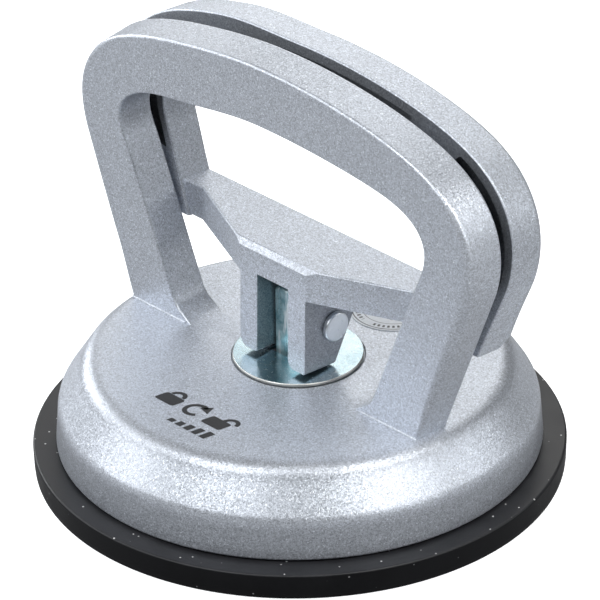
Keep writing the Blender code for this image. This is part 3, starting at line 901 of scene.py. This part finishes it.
class Nodes:
    """Short calls for building a material's node tree."""

    def __init__(self, name):
        self.mat = bpy.data.materials.new(name)
        self.mat.use_nodes = True
        self.tree = self.mat.node_tree
        self.shader = self.tree.nodes["Principled BSDF"]

    @cached_property
    def coord(self):
        return self.new("ShaderNodeTexCoord").outputs["Object"]

    def new(self, kind, **values):
        node = self.tree.nodes.new(kind)
        for key, value in values.items():
            setattr(node, key, value)
        return node

    def put(self, source, target):
        """Links a socket, or sets a number or tuple."""
        if isinstance(source, (int, float, tuple)):
            target.default_value = source
        else:
            self.tree.links.new(source, target)

    def noise(self, scale, detail=2.0, roughness=0.5, where=None):
        node = self.new("ShaderNodeTexNoise")
        self.put(where or self.coord, node.inputs["Vector"])
        node.inputs["Scale"].default_value = scale
        node.inputs["Detail"].default_value = detail
        node.inputs["Roughness"].default_value = roughness
        return node.outputs["Fac"]

    def cells(self, scale, where=None, output="Color"):
        node = self.new("ShaderNodeTexVoronoi")
        self.put(where or self.coord, node.inputs["Vector"])
        node.inputs["Scale"].default_value = scale
        return node.outputs[output]

    def math(self, operation, first, second=0.0):
        node = self.new("ShaderNodeMath", operation=operation)
        self.put(first, node.inputs[0])
        self.put(second, node.inputs[1])
        return node.outputs[0]

    def add(self, first, second):
        return self.math("ADD", first, second)

    def mul(self, first, second):
        return self.math("MULTIPLY", first, second)

    def swing(self, value, amount):
        """Turns 0 to 1 into a swing about 0 that is amount wide."""
        return self.mul(self.math("SUBTRACT", value, 0.5), amount)

    def ramp(self, value, span, to=(0.0, 1.0), smooth=False):
        """Maps the span onto the to range, clamped."""
        node = self.new("ShaderNodeMapRange", clamp=True)
        if smooth:
            node.interpolation_type = "SMOOTHSTEP"
        self.put(value, node.inputs["Value"])
        for key, number in zip(("From Min", "From Max", "To Min", "To Max"), (*span, *to)):
            node.inputs[key].default_value = number
        return node.outputs[0]

    def mix(self, factor, first, second, blend="MIX"):
        node = self.new("ShaderNodeMix", data_type="RGBA", blend_type=blend)
        ins = {s.identifier: s for s in node.inputs}
        self.put(factor, ins["Factor_Float"])
        self.put(first, ins["A_Color"])
        self.put(second, ins["B_Color"])
        return next(s for s in node.outputs if s.identifier == "Result_Color")

    def vector(self, operation, first, second=None):
        node = self.new("ShaderNodeVectorMath", operation=operation)
        self.put(first, node.inputs[0])
        if second is not None:
            self.put(second, node.inputs[1])
        return node.outputs[0]

    def scaled(self, vector, factor):
        node = self.new("ShaderNodeVectorMath", operation="SCALE")
        self.put(vector, node.inputs[0])
        self.put(factor, node.inputs["Scale"])
        return node.outputs[0]

    def split(self, vector):
        node = self.new("ShaderNodeSeparateXYZ")
        self.put(vector, node.inputs[0])
        return node.outputs

    def along(self, axis):
        """The object coordinate along X, Y or Z."""
        return self.split(self.coord)["XYZ".index(axis)]

    def bump(self, height, strength, distance):
        node = self.new("ShaderNodeBump")
        node.inputs["Strength"].default_value = strength
        node.inputs["Distance"].default_value = distance
        self.put(height, node.inputs["Height"])
        return node.outputs[0]

    def finish(self, **values):
        """Fills the shader's inputs, named with _ for spaces, and returns the material."""
        for key, value in values.items():
            self.put(value, self.shader.inputs[key.replace("_", " ")])
        return self.mat


PAINT_COLOR = (0.585, 0.618, 0.680)
HIGHLIGHT_SIDE = (0.72, 0.69)  # the bell's side with the painted highlight, as shares of +X and -Y


def bell_painted_light(net, tone):
    # painted shade on the bell's lower edge, near the floor
    height = net.along("Z")
    dust_and_shade = net.ramp(height, span=(0.0125, 0.0170), to=(0.68, 1.0), smooth=True)
    tone = net.mul(tone, dust_and_shade)
    # a painted highlight on the slope, on its bright side, and painted shade on the upper edge that
    # tones its highlight down
    across = net.math(
        "SUBTRACT", net.mul(net.along("X"), HIGHLIGHT_SIDE[0]), net.mul(net.along("Y"), HIGHLIGHT_SIDE[1]),
    )
    slope = net.mul(
        net.ramp(height, span=(0.0160, 0.0180), smooth=True),
        net.ramp(height, span=(0.0215, 0.0245), to=(1.0, 0.0)),
    )
    painted_highlight = net.mul(slope, net.ramp(across, span=(0.026, 0.047), to=(0.0, 0.20), smooth=True))
    edge = net.mul(
        net.ramp(height, span=(0.0225, 0.0248), smooth=True),
        net.ramp(height, span=(0.02595, 0.02635), to=(-0.15, 0.0)),
    )
    return net.mul(tone, net.add(net.add(painted_highlight, edge), 1.0))


def lever_painted_light(net, tone, inward):
    # painted shade on the lugs: the lever's paint is a little darker towards the bottom
    height = net.along("Z")
    lug_shade = net.ramp(height, span=(0.030, 0.046), to=(0.86, 1.0), smooth=True)
    tone = net.mul(tone, lug_shade)
    # outside the legs, painted light: brighter at the foot, painted shade at the shoulder
    leg_light = net.ramp(height, span=(0.060, 0.076), to=(0.14, -0.15), smooth=True)
    outside = net.ramp(net.mul(inward, -1.0), span=(0.030, 0.046), smooth=True)
    return net.mul(tone, net.add(net.mul(leg_light, outside), 1.0))


def cast_paint(
    name, seed, depth=1.0, tint=(1.0, 1.0, 1.0), dull=0.0, bell=False, on_lever=False, fade=None,
):
    """Metallic flake paint; seed shifts the pattern, depth scales the colour: the darker copies
    carry painted shade, the brighter one a painted highlight.

    fade is (low height, high height, brightness above it): painted shade that grows with height.
    """
    net = Nodes(name)
    where = net.vector("ADD", net.coord, (seed, seed * 0.7, seed * 1.3))
    normal = net.new("ShaderNodeNewGeometry").outputs["Normal"]
    # flakes: every cell of about a third of a millimetre has its own brightness and tilt
    cell = net.cells(scale=3700.0, where=where)
    fine = net.cells(scale=6400.0, where=where)
    level, gloss, glint = net.split(cell)
    _, fine_level, fine_dark = net.split(fine)
    flake = net.swing(level, amount=0.44)
    grain = net.swing(fine_level, amount=0.44)
    spark = net.ramp(glint, span=(0.94, 0.99), to=(0.0, 0.42))
    pit = net.ramp(fine_dark, span=(0.0, 0.05), to=(-0.16, 0.0))
    cloud = net.swing(
        net.noise(scale=90.0, detail=3.0, roughness=0.55, where=where), amount=0.06,
    )
    tone = net.add(net.add(net.add(flake, grain), net.add(spark, pit)), net.add(cloud, 1.0))
    base = net.new("ShaderNodeRGB").outputs[0]
    base.default_value = (*(part * depth * hue for part, hue in zip(PAINT_COLOR, tint)), 1.0)
    # painted light on the bell: shade near the floor, a highlight on the slope, shade on the rim
    if bell:
        tone = bell_painted_light(net, tone)
    # the faces that look in across the grip get painted shade
    facing = net.split(normal)[0]
    inward = net.mul(net.mul(facing, net.along("X")), -1.0)
    tone = net.mul(tone, net.ramp(inward, span=(0.012, 0.030), to=(1.0, 0.74), smooth=True))
    # painted shade that grows with height
    if fade:
        low, high, above = fade
        height = net.along("Z")
        tone = net.mul(tone, net.ramp(height, span=(low, high), to=(1.0, above), smooth=True))
    # painted light on the lever: shade on the lugs, light and shade outside the legs
    if on_lever:
        tone = lever_painted_light(net, tone, inward)
    color = net.scaled(base, tone)
    # normal: flake tilt on top of a fine orange-peel
    tilt = net.scaled(net.vector("SUBTRACT", cell, (0.5, 0.5, 0.5)), factor=0.15)
    peel = net.noise(scale=1500.0, detail=2.0, roughness=0.6, where=where)
    bumped = net.bump(peel, strength=0.35, distance=0.00006)
    unit = net.vector("NORMALIZE", net.vector("ADD", bumped, tilt))
    gloss_swing, least_rough = 0.14, 0.33
    rough = net.add(net.mul(gloss, gloss_swing), least_rough + dull)
    return net.finish(Base_Color=color, Metallic=0.62, Roughness=rough, Normal=unit)


def zinc(
    name, dark, light, scratch=0.3, metal=1.0, dull=0.0, streaks=0.5, patches=160.0,
    streak_from=0.58,
):
    """Plated zinc: clouds from dark to light at the patches scale, bright streaks along Z."""
    net = Nodes(name)
    stretch = net.new("ShaderNodeMapping")
    net.put(net.coord, stretch.inputs["Vector"])
    stretch.inputs["Scale"].default_value = (1.0, 1.0, 0.12)
    streak = net.noise(scale=900.0, detail=3.0, roughness=0.6, where=stretch.outputs[0])
    cloud = net.noise(scale=patches, detail=3.0, roughness=0.6)
    fine = net.noise(scale=3800.0)
    color = net.mix(net.ramp(cloud, span=(0.35, 0.68)), (*dark, 1.0), (*light, 1.0))
    shine = net.ramp(streak, span=(streak_from, streak_from + 0.1), to=(0.0, streaks))
    bright = net.mix(shine, color, (0.90, 0.95, 0.97, 1.0))
    smear = net.ramp(streak, span=(0.3, 0.7), to=(0.10 + dull, 0.26 + dull))
    fine_rough = 0.08
    rough = net.add(smear, net.mul(fine, fine_rough))
    relief = net.add(net.mul(streak, scratch), fine)
    return net.finish(
        Base_Color=bright, Metallic=metal, Roughness=rough,
        Normal=net.bump(relief, strength=0.22, distance=0.00004),
    )


def steel(name, rgb, rough):
    """Bare steel; rough is the range of its roughness."""
    net = Nodes(name)
    cloud = net.noise(scale=700.0, detail=3.0, roughness=0.6)
    fine = net.noise(scale=4200.0)
    tone_swing, least_tone = 0.16, 0.92
    tone = net.add(net.mul(cloud, tone_swing), least_tone)
    return net.finish(
        Base_Color=net.scaled(rgb, tone), Metallic=1.0,
        Roughness=net.ramp(cloud, span=(0.3, 0.7), to=rough),
        Normal=net.bump(fine, strength=0.18, distance=0.00003),
    )


def rubber(name):
    """Black rubber with dust and pale specks; faces that don't look up get painted shade."""
    net = Nodes(name)
    cloud = net.noise(scale=70.0, detail=4.0, roughness=0.6)
    grain = net.noise(scale=2600.0, roughness=0.6)
    distance = net.cells(scale=620.0, output="Distance")
    which = net.split(net.cells(scale=620.0))[0]
    speck = net.mul(
        net.ramp(distance, span=(0.10, 0.16), to=(1.0, 0.0)), net.ramp(which, span=(0.80, 0.84)),
    )
    dust_and_shade = net.ramp(
        net.noise(scale=1900.0, detail=3.0, roughness=0.7), span=(0.70, 0.78), to=(0.0, 0.25),
    )
    black, black_light = (0.012, 0.0125, 0.014, 1.0), (0.027, 0.0275, 0.030, 1.0)
    color = net.mix(net.ramp(cloud, span=(0.3, 0.7)), black, black_light)
    color = net.mix(dust_and_shade, color, (0.12, 0.12, 0.125, 1.0))
    color = net.mix(speck, color, (0.62, 0.62, 0.60, 1.0))
    normal = net.new("ShaderNodeNewGeometry").outputs["Normal"]
    upward = net.ramp(net.split(normal)[2], span=(0.2, 0.8))
    side_shade = net.mix(upward, (0.30, 0.30, 0.32, 1.0), (1.0, 1.0, 1.04, 1.0))
    return net.finish(
        Base_Color=net.mix(1.0, color, side_shade, blend="MULTIPLY"),
        Roughness=net.ramp(cloud, span=(0.3, 0.7), to=(0.34, 0.50)),
        Normal=net.bump(grain, strength=0.25, distance=0.00005),
        Specular_IOR_Level=net.ramp(upward, span=(0.0, 1.0), to=(0.12, 0.36)),
    )


def ring_print(net, radius, low, high, soft=0.05):
    """1 between two radii in millimetres, with soft edges."""
    soft *= MM
    low *= MM
    high *= MM
    return net.mul(
        net.ramp(radius, span=(low - soft, low + soft)),
        net.ramp(radius, span=(high - soft, high + soft), to=(1.0, 0.0)),
    )


def label_print(name):
    """White paper with dark printed rings, ticks and rows, laid out round the label's centre."""
    tick_waves, gap_waves = 46.0, 5.0  # round the label
    row_height = 1.05
    net = Nodes(name)
    place = net.split(net.coord)
    off_x = net.math("SUBTRACT", place[0], LABEL_X * MM)
    off_y = net.math("SUBTRACT", place[1], LABEL_Y * MM)
    radius = net.math("SQRT", net.add(net.mul(off_x, off_x), net.mul(off_y, off_y)))
    angle = net.math("ARCTAN2", off_y, off_x)
    outline = ring_print(net, radius, low=9.25, high=9.5)
    inner = ring_print(net, radius, low=6.9, high=7.05)
    wave = net.math("SINE", net.mul(angle, tick_waves))
    tick_ring = ring_print(net, radius, low=7.8, high=8.7)
    ticks = net.mul(tick_ring, net.ramp(wave, span=(-0.1, 0.1)))
    gaps = net.math("SINE", net.mul(angle, gap_waves))
    ticks = net.mul(ticks, net.ramp(gaps, span=(-0.62, -0.56)))
    stripes = net.math("SINE", net.mul(off_y, math.pi / (row_height * MM)))
    rows = net.mul(
        net.ramp(stripes, span=(0.35, 0.5)),
        net.ramp(radius, span=(5.2 * MM, 5.3 * MM), to=(1.0, 0.0)),
    )
    printed = net.math(
        "MAXIMUM", net.math("MAXIMUM", outline, inner), net.math("MAXIMUM", ticks, rows),
    )
    paper = net.noise(scale=900.0, detail=3.0, roughness=0.6)
    white, white_light = (0.68, 0.71, 0.755, 1.0), (0.76, 0.785, 0.825, 1.0)
    base = net.mix(net.ramp(paper, span=(0.35, 0.65)), white, white_light)
    return net.finish(
        Base_Color=net.mix(printed, base, (0.05, 0.05, 0.055, 1.0)),
        Roughness=net.ramp(paper, span=(0.3, 0.7), to=(0.38, 0.5)),
        Normal=net.bump(paper, strength=0.1, distance=0.00002),
    )


def ink(name):
    net = Nodes(name)
    grain = net.noise(scale=2400.0, detail=3.0, roughness=0.6)
    black, black_light = (0.012, 0.012, 0.013, 1.0), (0.035, 0.035, 0.037, 1.0)
    return net.finish(
        Base_Color=net.mix(net.ramp(grain, span=(0.35, 0.7)), black, black_light),
        Roughness=net.ramp(grain, span=(0.3, 0.7), to=(0.42, 0.6)),
        Normal=net.bump(grain, strength=0.3, distance=0.00003),
    )


def floor_white(name):
    """Plain white from the camera; it throws a softer grey light back on the object."""
    net = Nodes(name)
    seen = net.new("ShaderNodeLightPath").outputs["Is Camera Ray"]
    return net.finish(
        Base_Color=net.mix(seen, (0.16, 0.163, 0.17, 1.0), (0.90, 0.90, 0.90, 1.0)),
        Roughness=0.85, Specular_IOR_Level=0.1,
        Emission_Strength=net.ramp(seen, span=(0.0, 1.0), to=(0.245, 0.85)),
        Emission_Color=(0.97, 0.985, 1.0, 1.0),
    )


def dress(obj, mat, tagged=None):
    """One material all over, but for the faces whose tag has its own."""
    tagged = tagged or {}
    names = [m.name if m else "" for m in obj.data.materials]
    order = [mat, *tagged.values()]
    chosen = [
        order.index(tagged[names[face.material_index]])
        if names and names[face.material_index] in tagged else 0
        for face in obj.data.polygons
    ]
    obj.data.materials.clear()
    for each in order:
        obj.data.materials.append(each)
    obj.data.polygons.foreach_set("material_index", chosen)


# darker copies of the paint are painted shade: in the pockets, and in the slot, whose bluish tint is
# a painted reflection of the zinc bar
pocket_shade_paint = cast_paint("cast_paint_pocket_shade", seed=0.17, depth=0.30)
slot_shade_paint = cast_paint("cast_paint_slot_shade", seed=0.23, depth=0.50, tint=(0.86, 1.0, 1.0))
dress(housing, cast_paint("cast_paint_housing", seed=0.0, bell=True), {
    "tag_pocket": pocket_shade_paint,
    # painted shade in the bell's slot well
    "tag_slot": cast_paint("cast_paint_well_shade", seed=0.71, depth=0.12),
})
dress(lever, cast_paint("cast_paint_lever", seed=0.31, dull=0.07, on_lever=True), {
    "tag_pocket": pocket_shade_paint,
    "tag_slot": slot_shade_paint,
    "tag_slot_wall": slot_shade_paint,
    # painted shade under the lugs, a painted highlight on the chamfer, painted shade on the rim
    # towards its top and on the lugs' outer sides
    "tag_under": cast_paint("cast_paint_under_shade", seed=0.61, depth=0.24),
    "tag_chamfer": cast_paint("cast_paint_chamfer_highlight", seed=0.37, depth=1.1),
    "tag_rim": cast_paint("cast_paint_rim_shade", seed=0.41, fade=(0.054, 0.074, 0.50)),
    "tag_side": cast_paint("cast_paint_side_shade", seed=0.51, depth=0.62),
})
dress(cam, zinc("zinc_cam_plate", dark=(0.55, 0.70, 0.76), light=(0.72, 0.85, 0.90)), {
    "tag_edge": steel("sheared_edge_steel", rgb=(0.58, 0.58, 0.55), rough=(0.38, 0.50)),
})
dress(tie, zinc(
    "zinc_tie_bar", dark=(0.22, 0.40, 0.46), light=(0.56, 0.76, 0.80), scratch=2.0, metal=0.6,
    dull=0.10, streaks=1.0, patches=420.0, streak_from=0.53,
))
dress(pin, steel("pin_steel", rgb=(0.86, 0.90, 0.94), rough=(0.26, 0.38)))
dress(washer, steel("washer_steel", rgb=(0.62, 0.64, 0.66), rough=(0.22, 0.36)))
dress(clip, steel("clip_steel", rgb=(0.38, 0.39, 0.41), rough=(0.28, 0.42)))
dress(spring, steel("spring_steel", rgb=(0.50, 0.51, 0.53), rough=(0.22, 0.36)))
pad_rubber = rubber("pad_rubber")
dress(pad, pad_rubber)
dress(skin, pad_rubber)
dress(label, label_print("label_print"))
dress(mark, ink("mark_ink"))
dress(
    frame["nodes"]["insert_plate"],
    zinc("zinc_insert", dark=(0.50, 0.58, 0.62), light=(0.64, 0.70, 0.73)),
)

# --------------------------------------------------------------------------
# riding: each piece rides on its body; the CAD parts these stand for are hidden
# --------------------------------------------------------------------------
for piece, body, node, slot in (
    (housing, "housing", "housing", "cast_paint"),
    (lever, "lever", "lever", "cast_paint"),
    (cam, "housing", "cam_plate", "zinc_plate"),
    (tie, "puller", "tie_bar", "zinc_plate"),
    (pin, "puller", "pivot_pin", "pin_steel"),
    (washer, "puller", "pin_washer", "pin_steel"),
    (clip, "puller", "retaining_clip", "spring_steel"),
    (pad, "housing", "pad_rim", "pad_rubber"),
    (label, "housing", "rating_label", "label"),
):
    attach(piece, body)
    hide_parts(node)
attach(mark, "housing")
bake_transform(skin)
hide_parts("pad_center")
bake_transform(spring)
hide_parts("return_spring")

# --------------------------------------------------------------------------
# floor, world, lights and camera
# --------------------------------------------------------------------------
FLOOR_HALF, FLOOR_Z = 6.0, -0.0002

COOL = (0.965, 0.985, 1.0)
PLAIN = (0.99, 0.988, 0.972)
LIGHT_REACH = 1.05
LIGHT_CENTER_Z, LIGHT_TARGET_Z = 0.04, 0.045

# name, azimuth from +X and elevation (degrees), size, power (watts), colour
LIGHTS = (
    ("box_left_low", -135, 18, (0.55, 0.45), 2.1, COOL),
    ("box_left", 180, 18, (0.55, 0.45), 4.3, COOL),
    ("box_left_front", -142, 36, (0.45, 0.40), 1.3, COOL),
    ("box_front_high", -90, 48, (0.60, 0.50), 5.4, COOL),
    ("box_right_low", 0, 18, (0.55, 0.45), 1.35, COOL),
    ("box_right_high", 0, 48, (0.60, 0.50), 5.6, PLAIN),
    ("box_right_back", 45, 18, (0.55, 0.45), 1.4, COOL),
    ("box_back_low", 135, 18, (0.55, 0.45), 1.45, PLAIN),
    ("box_back_high", 112, 48, (0.80, 0.50), 2.15, PLAIN),
    ("box_top", -45, 71, (0.36, 0.36), 0.9, PLAIN),
)

# Azimuth is from -Y towards +X.
CAMERA_AZIMUTH, CAMERA_ELEVATION, CAMERA_ROLL = map(math.radians, (46.1322, 29.8994, -1.0513))
CAMERA_PLACE = (0.74228, -0.712696, 0.631989)


def make_floor():
    mesh = bpy.data.meshes.new("floor")
    corners = ((-1, -1), (1, -1), (1, 1), (-1, 1))
    mesh.from_pydata(
        [(x * FLOOR_HALF, y * FLOOR_HALF, FLOOR_Z) for x, y in corners], [], [(0, 1, 2, 3)],
    )
    floor = link(bpy.data.objects.new("floor", mesh))
    mesh.materials.append(floor_white("floor_white"))
    return floor


def make_world():
    world = bpy.data.worlds.new("studio")
    bpy.context.scene.world = world
    world.use_nodes = True
    background = world.node_tree.nodes["Background"]
    background.inputs["Color"].default_value = (0.93, 0.965, 1.0, 1.0)
    background.inputs["Strength"].default_value = 0.02


def area_light(name, azimuth, elevation, size, power, color):
    light = bpy.data.lights.new(name, "AREA")
    light.shape = "RECTANGLE"
    light.size, light.size_y = size
    light.energy = power
    light.color = color
    obj = link(bpy.data.objects.new(name, light))
    around, rise = math.radians(azimuth), math.radians(elevation)
    place = (
        LIGHT_REACH * math.cos(rise) * math.cos(around),
        LIGHT_REACH * math.cos(rise) * math.sin(around),
        LIGHT_CENTER_Z + LIGHT_REACH * math.sin(rise),
    )
    obj.location = place
    way = Vector((0.0, 0.0, LIGHT_TARGET_Z)) - Vector(place)
    obj.rotation_euler = way.to_track_quat("-Z", "Y").to_euler()


def make_camera():
    backward = Vector((
        math.sin(CAMERA_AZIMUTH) * math.cos(CAMERA_ELEVATION),
        -math.cos(CAMERA_AZIMUTH) * math.cos(CAMERA_ELEVATION),
        math.sin(CAMERA_ELEVATION),
    ))
    level = (-backward).cross(Vector((0.0, 0.0, 1.0))).normalized()
    upright = level.cross(-backward)
    right = math.cos(CAMERA_ROLL) * level + math.sin(CAMERA_ROLL) * upright
    top = -math.sin(CAMERA_ROLL) * level + math.cos(CAMERA_ROLL) * upright
    camera = link(bpy.data.objects.new("camera", bpy.data.cameras.new("camera")))
    camera.data.lens = 319.72
    camera.data.sensor_width = 36.0
    camera.data.clip_start = 0.05
    rows = zip(right, top, backward, CAMERA_PLACE)
    camera.matrix_world = Matrix((*rows, (0.0, 0.0, 0.0, 1.0)))
    bpy.context.scene.camera = camera


make_floor()
make_world()
for row in LIGHTS:
    area_light(*row)
make_camera()
bpy.context.scene.view_settings.view_transform = "Standard"
